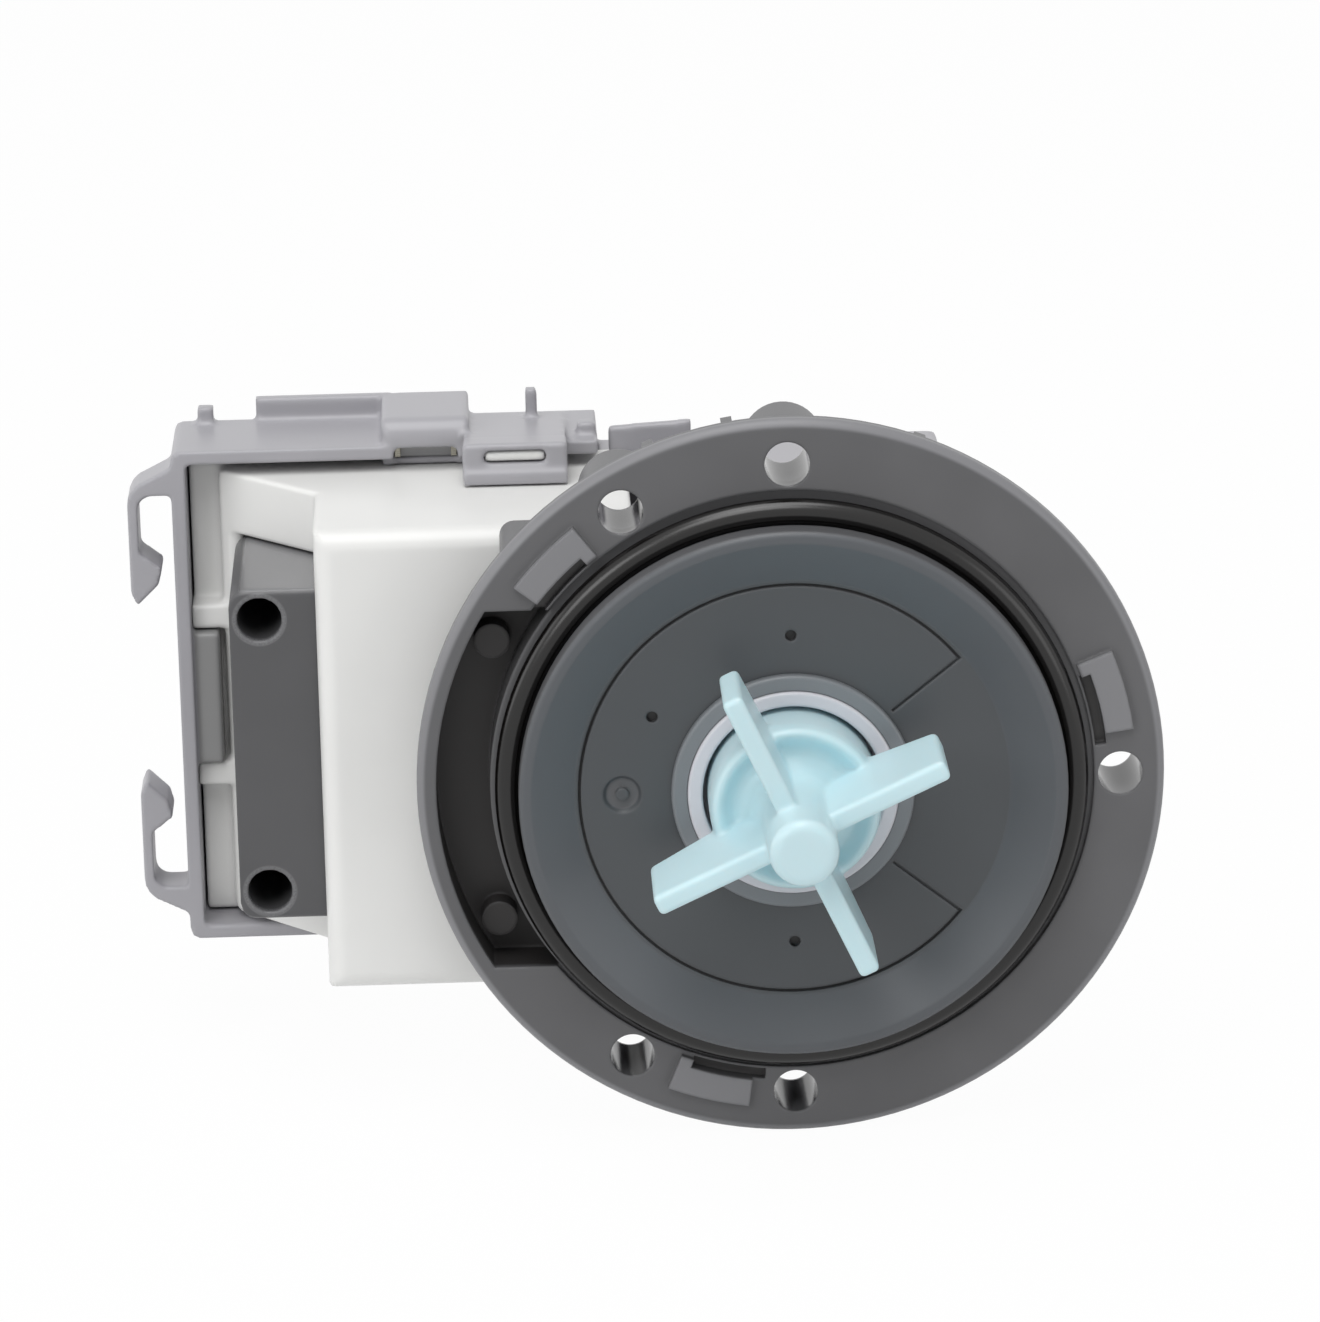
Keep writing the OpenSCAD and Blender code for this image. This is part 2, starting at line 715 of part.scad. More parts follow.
module lamination_stack() {
    color(steel) slab(stack_front, stack_back) difference() {
        core_outline();
        translate([yoke_inner_x, -leg_gap_half]) square([window_right_x - yoke_inner_x, 2 * leg_gap_half]);
        translate([window_right_x - lap, -pole_slot_half])
            square([pole_end_x - window_right_x + 2 * lap, 2 * pole_slot_half]);
        circle(core_bore_r);
        for (side = [-1, 1]) translate([screw_x, side * screw_z]) circle(screw_r + screw_clear);
    }
}

// Outline round a leg of the core in Y and Z, grown by a gap
module leg_outline(gap, round_r) {
    polygon(round_rect(stack_front - gap, stack_back + gap, leg_gap_half - gap, core_half_z + gap, round_r));
}

module bobbin() {
    tube = bobbin_gap + bobbin_wall;
    flange_gap = tube + bobbin_flange_h;
    difference() {
        union() {
            bar(bobbin_left_x, bobbin_right_x) leg_outline(tube, bobbin_round);
            bar(bobbin_left_x, bobbin_left_x + bobbin_flange_t) leg_outline(flange_gap, flange_round);
            bar(bobbin_right_x - bobbin_flange_t, bobbin_right_x) leg_outline(flange_gap, flange_round);
        }
        bar(bobbin_left_x - past, bobbin_right_x + past) leg_outline(bobbin_gap, bobbin_gap);
    }
}

// Winding with a crowned outside
module winding() {
    from_x = bobbin_left_x + bobbin_flange_t + seat_gap;
    to_x = bobbin_right_x - bobbin_flange_t - seat_gap;
    tube = bobbin_gap + bobbin_wall + seat_gap;
    full = tube + bobbin_flange_h - winding_inset;
    difference() {
        bar(from_x, to_x) leg_outline(full, winding_round);
        bar(from_x - past, to_x + past) leg_outline(tube, bobbin_round);
    }
}

module upper_bobbin() {
    color(white_plastic) bobbin();
}

module lower_bobbin() {
    color(white_plastic) mirror([0, 0, 1]) bobbin();
}

module upper_coil() {
    color(copper) winding();
}

module lower_coil() {
    color(copper) mirror([0, 0, 1]) winding();
}

module thermal_protector() {
    mid_x = (bobbin_left_x + bobbin_right_x) / 2;
    mid_y = (stack_front + stack_back) / 2;
    half_l = 7;
    half_w = 4;
    bottom = bobbin_out_z - winding_inset + 2 * seat_gap;
    top = housing_half_z - housing_wall - slip_gap;
    color([0.15, 0.15, 0.16]) block(bottom, top)
        polygon(round_rect(mid_x - half_l, mid_x + half_l, mid_y - half_w, mid_y + half_w, 2));
}

// Plan of the housing: straight in front, slanted out to the left behind
module housing_plan(wall, round_r) {
    left = housing_left_x + wall;
    tail = housing_tail_x + wall;
    shift = wall * (sqrt(2) - 1);
    front = housing_front + wall;
    back = wall > 0 ? housing_back + past : housing_back;
    right = wall > 0 ? window_right_x + past : window_right_x;
    polygon(concat([[right, front], [right, back], [tail, back], [tail, slant_back + shift],
        [left, slant_front + shift]], arc(left + round_r, front + round_r, round_r, 180, 270, 12)));
}

module coil_housing() {
    inner_half = housing_half_z - housing_wall;
    round_y = housing_front + housing_round;
    inner_round = housing_round - tail_round;
    ear_left = cover_left_x + cover_wall + seat_gap;
    color(white_plastic) {
        difference() {
            intersection() {
                block(-housing_half_z, housing_half_z) housing_plan(0, housing_round);
                bar(housing_tail_x - past, window_right_x + past) polygon(concat(
                    [[housing_back + past, -housing_half_z], [housing_back + past, housing_half_z]],
                    arc(round_y, housing_half_z - housing_round, housing_round, 90, 180, 12),
                    arc(round_y, -housing_half_z + housing_round, housing_round, 180, 270, 12)));
                slab(housing_front - past, housing_back + past) polygon(concat(
                    [[window_right_x + past, -housing_half_z], [window_right_x + past, housing_half_z]],
                    arc(housing_tail_x + tail_round, housing_half_z - tail_round, tail_round, 90, 180),
                    arc(housing_tail_x + tail_round, -housing_half_z + tail_round, tail_round, 180, 270)));
            }
            intersection() {
                block(-inner_half, inner_half) housing_plan(housing_wall, inner_round);
                bar(housing_tail_x - past, window_right_x + 2 * past)
                    polygon(round_rect(housing_front + housing_wall, housing_back + 2 * housing_round,
                        -inner_half, inner_half, tail_round));
            }
            box(housing_tail_x - past, cap_right_x + housing_wall + past, cap_front - slip_gap,
                cap_back + slip_gap, -cap_half_z - slip_gap, cap_half_z + slip_gap);
        }
        for (side = [-1, 1]) box(ear_left, housing_tail_x + housing_wall / 2, ear_front, ear_back,
            side * ear_z - ear_h / 2, side * ear_z + ear_h / 2);
        box(ear_left + slip_gap, housing_tail_x + housing_wall / 3, skirt_front, skirt_back,
            -skirt_half_z, skirt_half_z);
        bar(latch_left_x + window_edge + slip_gap, latch_right_x - window_edge - slip_gap) polygon([
            [catch_back, housing_half_z - lap], [catch_back, window_bottom_z + slip_gap],
            [catch_front, window_bottom_z + slip_gap], [catch_front, window_bottom_z + window_h - slip_gap],
            [catch_back + catch_flat, window_bottom_z + window_h - slip_gap],
            [cover_front + past, housing_half_z + catch_toe], [cover_front + past, housing_half_z - lap]]);
    }
}

module yoke_cap() {
    edge = 0.8;
    color(mid_grey) difference() {
        intersection() {
            slab(cap_front, cap_back) polygon(concat(
                [[cap_right_x, -cap_half_z], [cap_right_x, cap_half_z]],
                arc(cap_left_x + cap_round, cap_half_z - cap_round, cap_round, 90, 180),
                arc(cap_left_x + cap_round, -cap_half_z + cap_round, cap_round, 180, 270)));
            bar(cap_left_x - past, cap_right_x + past)
                polygon(round_rect(cap_front, cap_back, -cap_half_z, cap_half_z, edge));
        }
        slab(stack_front - slip_gap, stack_back + slip_gap) core_outline(slip_gap);
        for (side = [-1, 1])
            rod(cap_hole_x, side * cap_hole_z, cap_front - past, cap_back + past, cap_hole_r);
    }
}

// Outline of a hook in X and Z: the gap ends at root_z and the arm runs along direction
module hook_outline(root_z, direction) {
    arm_in = hook_reach - hook_arm;
    outline = concat(
        [[-cover_wall / 2, 0]],
        arc(arm_in - hook_gap_round, hook_gap_round, hook_gap_round, -90, 0, 4),
        [[arm_in, hook_barb_from], [arm_in - hook_barb, hook_barb_peak],
            [arm_in - hook_barb + hook_barb_ease, hook_barb_to], [hook_reach - hook_tip_in, hook_len]],
        [[hook_reach, hook_len - hook_tip_l]],
        arc(hook_reach - hook_round, -hook_root + hook_round, hook_round, 0, -hook_sweep, 4),
        [[-cover_wall / 2, -hook_root - hook_foot]]);
    polygon([for (p = outline) [cover_left_x - p[0], root_z + direction * p[1]]]);
}

// Cup of the cover, with its rear edges rounded
module cover_cup() {
    difference() {
        intersection() {
            slab(cover_front, cover_back)
                polygon(round_rect(cover_left_x, cover_right_x, cover_bottom_z, cover_top_z, cover_corner));
            block(cover_bottom_z - past, cover_top_z + past) polygon(concat(
                [[cover_left_x, cover_front], [cover_right_x, cover_front]],
                arc(cover_right_x - cover_round, cover_back - cover_round, cover_round, 0, 90),
                arc(cover_left_x + cover_round, cover_back - cover_round, cover_round, 90, 180)));
            bar(cover_left_x - past, cover_right_x + past) polygon(concat(
                [[cover_front, cover_bottom_z]],
                arc(cover_back - cover_round, cover_bottom_z + cover_round, cover_round, 270, 360),
                arc(cover_back - cover_round, cover_top_z - cover_round, cover_round, 0, 90),
                [[cover_front, cover_top_z]]));
        }
        slab(cover_front - past, cover_back - cover_wall)
            polygon(round_rect(cover_left_x + cover_wall, cover_right_x - cover_wall,
                cover_bottom_z + cover_wall, cover_top_z - cover_wall, cover_corner / 2));
    }
}

// The cup with its right end stepped down behind the housing
module cover_shell() {
    roof_left = window_right_x + slip_gap;
    roof_right = cover_right_x - cover_wall / 2;
    roof_front = cover_front + lap;
    roof_back = cover_back - cover_wall / 2;
    behind = housing_back + slip_gap;
    difference() {
        union() {
            cover_cup();
            block(cover_step_z - cover_wall, cover_step_z + past) polygon([
                [cover_step_x, behind], [roof_left, behind], [roof_left, roof_front],
                [roof_right, roof_front],
                [roof_right, roof_back], [cover_step_x, roof_back]]);
        }
        box(cover_step_x, cover_right_x + past, cover_front - past, cover_back + past, cover_step_z,
            cover_top_z + past);
    }
}

// Connector shroud, latch loop, posts and cable guide on the cover's top
module cover_top() {
    base = cover_top_z - lap;
    shroud_right_x = socket_right_x + socket_wall;
    socket_side_x = socket_left_x - socket_wall;
    socket_base_z = socket_floor_z - socket_floor_t;
    latch_foot_z = rim_inner_z + lap;
    intersection() {
        bar(socket_side_x - past, shroud_right_x) polygon(concat(
            [[cover_front, rim_inner_z + seat_gap], [socket_lip, rim_inner_z + seat_gap],
                [socket_lip, socket_base_z], [cover_back, socket_base_z],
                [cover_back, shroud_top_z - shroud_edge], [cover_back - shroud_edge, shroud_top_z]],
            arc(cover_front + socket_roll, socket_roof_z - socket_roll, socket_roll, 90, 180, 8)));
        block(socket_base_z - past, socket_roof_z + past) polygon(concat(
            [[shroud_right_x + past, cover_front], [shroud_right_x + past, cover_back + past],
                [socket_side_x, cover_back + past]],
            arc(socket_side_x + socket_round, cover_front + socket_round, socket_round, 180, 270)));
    }
    box(shroud_left_x, socket_left_x, cover_back - cover_wall, cover_back, base - cover_round,
        shroud_top_z);
    bar(latch_left_x, latch_right_x) polygon([
        [latch_heel, latch_foot_z], [latch_heel, latch_heel_z],
        [latch_front + latch_edge, latch_top_z], [latch_front, latch_top_z - latch_edge],
        [latch_front, latch_bottom_z + latch_lip_h + latch_lip],
        [latch_front - latch_lip, latch_bottom_z + latch_lip_h], [latch_front - latch_lip, latch_bottom_z],
        [latch_front + latch_bar_t, latch_bottom_z],
        [latch_front + latch_bar_t, latch_top_z - latch_plate_t],
        [cover_front + lap, latch_top_z - latch_plate_t - slip_gap], [cover_front + lap, latch_foot_z]]);
    box(peg_x, peg_x + peg_w, peg_back - peg_l, peg_back, base - cover_round, cover_top_z + peg_h);
    box(pin_x, pin_x + pin_w, pin_front, pin_front + pin_l, base, cover_top_z + pin_h);
    box(guide_post_x, guide_post_x + guide_post_w, guide_post_front,
        guide_post_front + guide_post_l, base, cover_top_z + guide_post_h);
    guide_plate_foot = window_right_x + slip_gap + lap;
    guide_plate_right = guide_plate_x + guide_plate_w;
    slab(guide_plate_front, guide_plate_front + guide_plate_t) polygon([
        [guide_plate_x, housing_half_z + slip_gap], [guide_plate_foot, housing_half_z + slip_gap],
        [guide_plate_foot, cover_step_z - lap], [guide_plate_right, cover_step_z - lap],
        [guide_plate_right, guide_plate_top_z], [guide_plate_x, guide_plate_top_z - guide_plate_fall]]);
}

module rear_cover() {
    inner_left = cover_left_x + cover_wall;
    color(light_grey) difference() {
        union() {
            cover_shell();
            slab(cover_front, cover_front + hook_w) {
                hook_outline(hook_top_z, -1);
                hook_outline(-hook_bottom_z, 1);
            }
            box(inner_left - lap, inner_left + stop_block_t, cover_front + past, skirt_front - slip_gap,
                -stop_block_half_z, stop_block_half_z);
            cover_top();
        }
        box(socket_left_x, socket_right_x, socket_front, cover_back + past, socket_floor_z, socket_top_z);
        box(socket_left_x + slot_inset, socket_right_x - slot_inset, cover_front - past, socket_front + past,
            rim_inner_z - 2 * past, rim_inner_z + slot_h);
        for (x = [socket_left_x + tab_inset, socket_right_x - tab_inset])
            box(x - tab_t / 2 - seat_gap, x + tab_t / 2 + seat_gap, tab_leg_front - seat_gap,
                tab_leg_front + tab_leg_l + seat_gap, cover_top_z - 2 * cover_wall, socket_floor_z + lap);
        box(latch_left_x + window_edge, latch_right_x - window_edge, latch_front - past,
            latch_front + latch_bar_t + lap, window_bottom_z, window_bottom_z + window_h);
    }
}

module terminal_tabs() {
    bottom = socket_floor_z + seat_gap;
    color(steel) for (x = [socket_left_x + tab_inset, socket_right_x - tab_inset])
        bar(x - tab_t / 2, x + tab_t / 2) polygon([
            [tab_front, bottom], [tab_leg_front, bottom], [tab_leg_front, tab_leg_end_z],
            [tab_leg_front + tab_leg_l, tab_leg_end_z], [tab_leg_front + tab_leg_l, bottom],
            [tab_back, bottom],
            [tab_back + tab_point, bottom + tab_point], [tab_back + tab_point, bottom + tab_tall - tab_point],
            [tab_back, bottom + tab_tall],
            [tab_front, bottom + tab_tall]]);
}

module stack_screws() {
    tip = screw_pilot_y + 1.5;
    head = stack_back + seat_gap;
    slot_w = 0.35 * screw_r;
    color(steel) for (side = [-1, 1]) difference() {
        union() {
            rod(screw_x, side * screw_z, tip, head + lap, screw_r);
            rod(screw_x, side * screw_z, head, head + screw_head_t, screw_head_r);
        }
        for (turn = [0, 90])
            translate([screw_x, head + screw_head_t / 2, side * screw_z]) rotate([0, turn, 0])
                translate([-screw_head_r / 2, 0, -slot_w / 2]) cube([screw_head_r, screw_head_t, slot_w]);
    }
}

module rotor_magnet() {
    bore = hub_core_r + seat_gap;
    edge = 0.6;
    y0 = magnet_front + seat_gap;
    y1 = magnet_back - seat_gap;
    color([0.22, 0.22, 0.23]) turned([[bore, y0], [magnet_r - edge, y0], [magnet_r, y0 + edge],
        [magnet_r, y1 - edge], [magnet_r - edge, y1], [bore, y1]]);
}

module rotor_hub() {
    bore = shaft_r + seat_gap / 2;
    front_flange = magnet_front - hub_flange_t;
    color(white_plastic) turned([[bore, hub_front], [hub_neck_r, hub_front], [hub_neck_r, front_flange],
        [hub_flange_r, front_flange], [hub_flange_r, magnet_front], [hub_core_r, magnet_front],
        [hub_core_r, magnet_back], [hub_flange_r, magnet_back], [hub_flange_r, hub_back], [bore, hub_back]]);
}

module pump_shaft() {
    end_r = shaft_r - shaft_chamfer;
    color(steel) turned([[0, shaft_front], [end_r, shaft_front], [shaft_r, shaft_front + shaft_chamfer],
        [shaft_r, shaft_back - shaft_chamfer], [end_r, shaft_back], [0, shaft_back]]);
}

// Washer on the shaft
module thrust_washer(y) {
    bore = shaft_r + seat_gap / 2;
    turned([[bore, y], [washer_r, y], [washer_r, y + washer_t - seat_gap], [bore, y + washer_t - seat_gap]]);
}

module front_thrust_washer() {
    color(light_grey) thrust_washer(front_washer_y);
}

module rear_thrust_washer() {
    color(light_grey) thrust_washer(rear_washer_y);
}

// Dog on the shaft that drives the impeller after part of a turn
module drive_cam() {
    cam_out_r = drum_in_r - dog_gap;
    color(white_plastic) slab(drum_in_front + turn_gap, drum_cap_front - turn_gap) difference() {
        union() {
            circle(cam_hub_r);
            ring_sector(shaft_r + 1, cam_out_r, -dog_span / 2, dog_span / 2);
        }
        circle(shaft_r + seat_gap / 2);
    }
}

module impeller() {
    bore = shaft_r + running_gap;
    cone_r = drum_r - 2.2;
    neck_y = -drum_proud - 4.8;
    drum_edge = 0.6;
    tip_round = 0.6;
    tip_x = blade_tip_r - tip_round;
    stop_in_r = cam_hub_r + dog_gap;
    stop_angle = 180;
    color(pale_blue) {
        turned(concat(
            [[0, -nose_front]],
            arc(nose_r - nose_round, -nose_front + nose_round, nose_round, 270, 360),
            [[nose_r, neck_y - 1], [nose_r + 1, neck_y], [cone_r, -drum_proud]],
            arc(drum_r - drum_edge, -drum_proud + drum_edge, drum_edge, 270, 360),
            [[drum_r, drum_back], [drum_in_r, drum_back], [drum_in_r, drum_in_front], [bore, drum_in_front],
                [bore, shaft_front - turn_gap], [0, shaft_front - turn_gap]]));
        for (i = [0:blade_count - 1])
            rotate([0, -blade_angle - i * 360 / blade_count, 0]) block(-blade_t / 2, blade_t / 2)
                polygon(concat([[bore + 1, -blade_front]],
                    arc(tip_x, -blade_front + tip_round, tip_round, 270, 360, 4),
                    arc(tip_x, -blade_rear - tip_round, tip_round, 0, 90, 4),
                    [[cone_r - 1, -drum_proud - 0.4], [bore + 1, -drum_proud]]));
        slab(drum_in_front - lap, drum_cap_front - seat_gap)
            ring_sector(stop_in_r, drum_in_r + lap, stop_angle - dog_span / 2, stop_angle + dog_span / 2);
    }
}

module impeller_cap() {
    bore = shaft_r + running_gap;
    rim = drum_in_r - seat_gap;
    edge = 0.4;
    color(pale_blue) turned([[bore, drum_cap_front], [rim, drum_cap_front], [rim, drum_back - edge],
        [rim - edge, drum_back], [bore, drum_back]]);
}

pump_flange();
rotor_can();
flange_o_ring();
bearing_carrier();
carrier_o_ring();
shaft_seal();
front_bush();
rear_bush();
rear_grommet();
lamination_stack();
upper_bobbin();
lower_bobbin();
upper_coil();
lower_coil();
thermal_protector();
coil_housing();
yoke_cap();
rear_cover();
terminal_tabs();
stack_screws();
rotor_magnet();
rotor_hub();
pump_shaft();
front_thrust_washer();
rear_thrust_washer();
drive_cam();
impeller();
impeller_cap();
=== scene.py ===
import math
import bpy
import bmesh
from mathutils import Matrix, Vector


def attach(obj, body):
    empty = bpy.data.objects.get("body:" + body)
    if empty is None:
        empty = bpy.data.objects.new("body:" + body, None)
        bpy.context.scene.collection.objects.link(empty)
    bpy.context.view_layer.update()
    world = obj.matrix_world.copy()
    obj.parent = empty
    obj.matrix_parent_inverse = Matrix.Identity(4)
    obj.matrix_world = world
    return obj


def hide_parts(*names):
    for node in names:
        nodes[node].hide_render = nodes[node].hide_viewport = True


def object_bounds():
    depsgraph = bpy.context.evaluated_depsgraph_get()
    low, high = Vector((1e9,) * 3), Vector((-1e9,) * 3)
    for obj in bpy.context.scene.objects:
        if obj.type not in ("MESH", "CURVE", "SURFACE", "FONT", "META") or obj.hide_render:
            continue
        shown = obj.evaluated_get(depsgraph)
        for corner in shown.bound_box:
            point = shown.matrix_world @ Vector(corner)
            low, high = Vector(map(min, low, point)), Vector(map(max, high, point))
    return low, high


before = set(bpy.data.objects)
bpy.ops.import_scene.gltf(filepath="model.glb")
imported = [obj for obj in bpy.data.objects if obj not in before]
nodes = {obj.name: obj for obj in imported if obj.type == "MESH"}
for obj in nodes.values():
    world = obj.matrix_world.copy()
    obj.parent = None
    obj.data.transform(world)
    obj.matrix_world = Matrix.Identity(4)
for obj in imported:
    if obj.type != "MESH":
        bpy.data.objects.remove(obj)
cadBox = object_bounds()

scene = bpy.context.scene
scene.view_settings.view_transform = "Standard"
mm = 0.001
mergeGap = 0.002 * mm
print("frame loaded:", len(nodes), "nodes")


def tone(red, green, blue):  # 0-255 as seen on screen, to the linear colour that sockets take
    parts = [value / 255 for value in (red, green, blue)]
    return tuple(p / 12.92 if p <= 0.04045 else ((p + 0.055) / 1.055) ** 2.4 for p in parts) + (1.0,)


# shader maths: a Flow wraps one output socket, and expressions on Flows add Math nodes
class Flow:
    def __init__(self, tree, socket=None):
        self.tree = tree
        self.socket = socket

    def node(self, kind, settings=None, links=None, out=0):
        made = self.tree.nodes.new("ShaderNode" + kind)
        for key, value in (settings or {}).items():
            setattr(made, key, value)
        for key, value in (links or {}).items():
            if isinstance(value, Flow):
                self.tree.links.new(value.socket, made.inputs[key])
            else:
                made.inputs[key].default_value = value
        return Flow(self.tree, made.outputs[out] if made.outputs else None)

    def maths(self, operation, first, second=0.0):
        return self.node("Math", {"operation": operation}, {0: first, 1: second})

    def __add__(self, other):
        return self.maths("ADD", self, other)

    __radd__ = __add__

    def __sub__(self, other):
        return self.maths("SUBTRACT", self, other)

    def __rsub__(self, other):
        return self.maths("SUBTRACT", other, self)

    def __mul__(self, other):
        return self.maths("MULTIPLY", self, other)

    __rmul__ = __mul__

    def __truediv__(self, other):
        return self.maths("DIVIDE", self, other)

    def __pow__(self, other):
        return self.maths("POWER", self, other)

    def rise(self, low, high):  # 0 below low, 1 above high, smooth between
        return self.node("MapRange", {"interpolation_type": "SMOOTHSTEP"}, {0: self, 1: low, 2: high})

    def mixed(self, first, second):  # colours, this value as the factor
        return self.node("Mix", {"data_type": "RGBA"}, {0: self, 6: first, 7: second}, 2)


def startMaterial(name):
    made = bpy.data.materials.new(name)
    made.use_nodes = True
    made.node_tree.nodes.clear()
    return made, Flow(made.node_tree)


def noiseOf(flow, place, size, detail=2.0, roughness=0.5):  # size of a blotch in mm
    return flow.node("TexNoise", None, {"Vector": place, "Scale": 1 / (size * mm), "Detail": detail,
                                        "Roughness": roughness})


def finishMaterial(made, flow, colour, roughness, normal, fixed):
    shader = flow.node("BsdfPrincipled", None, dict({"Base Color": colour, "Roughness": roughness,
                                                     "Normal": normal}, **fixed))
    flow.node("OutputMaterial", None, {"Surface": shader})
    return made


# moulded plastic and rubber: slow tint changes, a fine grain, softened edges and, where asked, a painted
# highlight along the edges
def moulded(name, look, paint=None):
    made, flow = startMaterial(name)
    place = flow.node("TexCoord", None, None, 3)
    slow = noiseOf(flow, place, look.get("patch", 22), 3)
    fine = noiseOf(flow, place, look.get("grain", 0.25), 2)
    deep = tuple(c * (1 - look.get("drift", 0.08)) for c in tone(*look["colour"])[:3]) + (1.0,)
    colour = slow.rise(0.3, 0.7).mixed(deep, tone(*look["colour"]))
    roughness = look["rough"] + (slow - 0.5) * look.get("roughDrift", 0.1) + (fine - 0.5) * 0.06
    if paint:
        colour, roughness = paint(flow, place, colour, roughness)
    soft = flow.node("Bevel", {"samples": 4}, {"Radius": look.get("edge", 0.3) * mm})
    # painted highlight: edges lightened where the bevelled normal turns from the face, in patches set by the
    # slow noise
    if "edgeHighlight" in look:
        flat = flow.node("NewGeometry", None, None, 1)
        level = flow.node("VectorMath", {"operation": "DOT_PRODUCT"}, {0: soft, 1: flat}, 1)
        paintedEdgeHighlight = (1 - level).rise(0.02, 0.3) * slow.rise(0.25, 0.6) * look["edgeHighlight"]
        colour = paintedEdgeHighlight.mixed(colour, tone(*look["edgeHighlightColour"]))
    normal = flow.node("Bump", None, {"Strength": look.get("bump", 0.15), "Distance": 0.03 * mm,
                                      "Height": fine, "Normal": soft})
    return finishMaterial(made, flow, colour, roughness, normal, look.get("fixed", {}))


def dress(names, material):
    for name in names:
        nodes[name].data.materials.clear()
        nodes[name].data.materials.append(material)


# flange: dark grey, cooler inside the spigot; painted shade in its recess, pockets, disc, disc groove and
# dots; painted highlights on its lock tabs (also polished), rim, edges and dish
flangeLook = {"colour": (96, 96, 98), "rough": 0.4, "grain": 0.3, "bump": 0.12, "edge": 0.6, "drift": 0.16,
              # edge colour: a painted highlight along the flange's edges
              "patch": 26, "edgeHighlight": 0.3, "edgeHighlightColour": (150, 150, 152)}
# disc and dish colours: the cool tint is the spigot's own; the disc is painted darker as shade under the
# impeller, the dish lighter as a painted highlight on its slope
flangePaint = {"disc": (72, 75, 78), "discRadius": 28.8, "dish": (84, 87, 91), "dishRadius": 36.2,
               "frontY": (-2.7, -2.3), "deepY": (0.3, 1.6),
               # recess and pocket colours: painted shade, near-black where the recess and the tab pockets
               # sink into the flange
               "recess": (42, 40, 40), "recessHalf": 25.2, "recessRadii": (40.2, 47.6), "recessRough": 0.15,
               "pocketShade": (46, 44, 44), "pocketRadii": (40.6, 42.4), "pocketFloorY": (2.3, 2.5),
               # tab colour: a painted highlight, lighter on the raised lock tabs as if catching the light;
               # they are also glossier
               "tab": (128, 128, 131), "tabRadius": 41.2, "tabTopY": (-0.7, -0.2), "tabRough": -0.08,
               # rim colour: a painted highlight on the rounded outer rim
               "rim": (128, 128, 131), "rimRadius": 48.7, "rimBackY": (1.4, 2.0),
               # groove colour: painted shade, near-black inside the disc's circle groove and dot holes
               "grooveShade": (20, 20, 21), "lineRadius": 28.4, "lineHalf": 0.2, "lineY": (-2.95, -2.85),
               "dotCircle": 21.4, "dotAngles": (90, 150, 270), "dotRadius": 0.75, "grooveShadeBackY": (-1.6, -1.2),
               "holeCircle": 44, "holeAngles": (0, 90, 120, 240, 270), "holeRadius": 3.0, "holeRough": 0.04}


def split(flow, place):  # x, y and z of a place, in mm
    spot = flow.node("SeparateXYZ", None, {0: place}).socket.node
    return [Flow(flow.tree, spot.outputs[k]) / mm for k in range(3)]


def within(value, low, high, ease=0.15):  # 1 between low and high
    return value.rise(low - ease, low + ease) * (1 - value.rise(high - ease, high + ease))


def reachOf(across, up):  # distance from a line along y
    return (across * across + up * up) ** 0.5


def ringSpots(circle, angles):  # x and z of places on a circle
    return [(circle * math.cos(math.radians(a)), circle * math.sin(math.radians(a))) for a in angles]


def paintFlange(flow, place, colour, roughness):
    paint = flangePaint
    x, y, z = split(flow, place)
    radius = reachOf(x, z)
    front = 1 - y.rise(*paint["frontY"])
    # painted shade on the disc, painted highlight on the dish
    for part in ("dish", "disc"):
        edge = paint[part + "Radius"]
        inside = (1 - radius.rise(edge, edge + 0.4)) * front
        colour = inside.mixed(colour, tone(*paint[part]))
    deep = y.rise(*paint["deepY"])
    leftHalf = 1 - x.rise(-0.5, 0.5)
    # recess and tab pockets: painted shade where the face sinks back
    recess = deep * within(radius, *paint["recessRadii"]) * leftHalf
    recess = recess * within(z, -paint["recessHalf"], paint["recessHalf"])
    pocketShade = deep * within(radius, *paint["pocketRadii"]) * (1 - y.rise(*paint["pocketFloorY"]))
    # lock-tab tops: painted highlight, and lower roughness
    tab = (1 - y.rise(*paint["tabTopY"])) * radius.rise(paint["tabRadius"] - 0.5, paint["tabRadius"] + 0.5)
    # outer rim: painted highlight
    rim = radius.rise(paint["rimRadius"], paint["rimRadius"] + 0.6) * (1 - y.rise(*paint["rimBackY"]))
    # painted shade inside the circle groove and the dot holes
    inner, outer = paint["lineRadius"] - paint["lineHalf"], paint["lineRadius"] + paint["lineHalf"]
    grooveShade = within(radius, inner, outer, 0.05) * y.rise(*paint["lineY"])
    for spotX, spotZ in ringSpots(paint["dotCircle"], paint["dotAngles"]):
        far = reachOf(x - spotX, z - spotZ)
        grooveShade = grooveShade + (1 - far.rise(paint["dotRadius"] - 0.1, paint["dotRadius"] + 0.1))
    grooveShade = grooveShade.maths("MINIMUM", grooveShade, 1.0) * (1 - y.rise(*paint["grooveShadeBackY"]))
    for part, mask in (("pocketShade", pocketShade), ("recess", recess), ("tab", tab), ("rim", rim), ("grooveShade", grooveShade)):
        colour = mask.mixed(colour, tone(*paint[part]))
    inHole = None
    for spotX, spotZ in ringSpots(paint["holeCircle"], paint["holeAngles"]):
        near = 1 - reachOf(x - spotX, z - spotZ).rise(paint["holeRadius"], paint["holeRadius"] + 0.2)
        inHole = near if inHole is None else inHole + near
    roughness = roughness + inHole * (paint["holeRough"] - flangeLook["rough"])
    return colour, roughness + recess * paint["recessRough"] + tab * paint["tabRough"]


dress(["pump_flange"], moulded("flangeGrey", flangeLook, paintFlange))

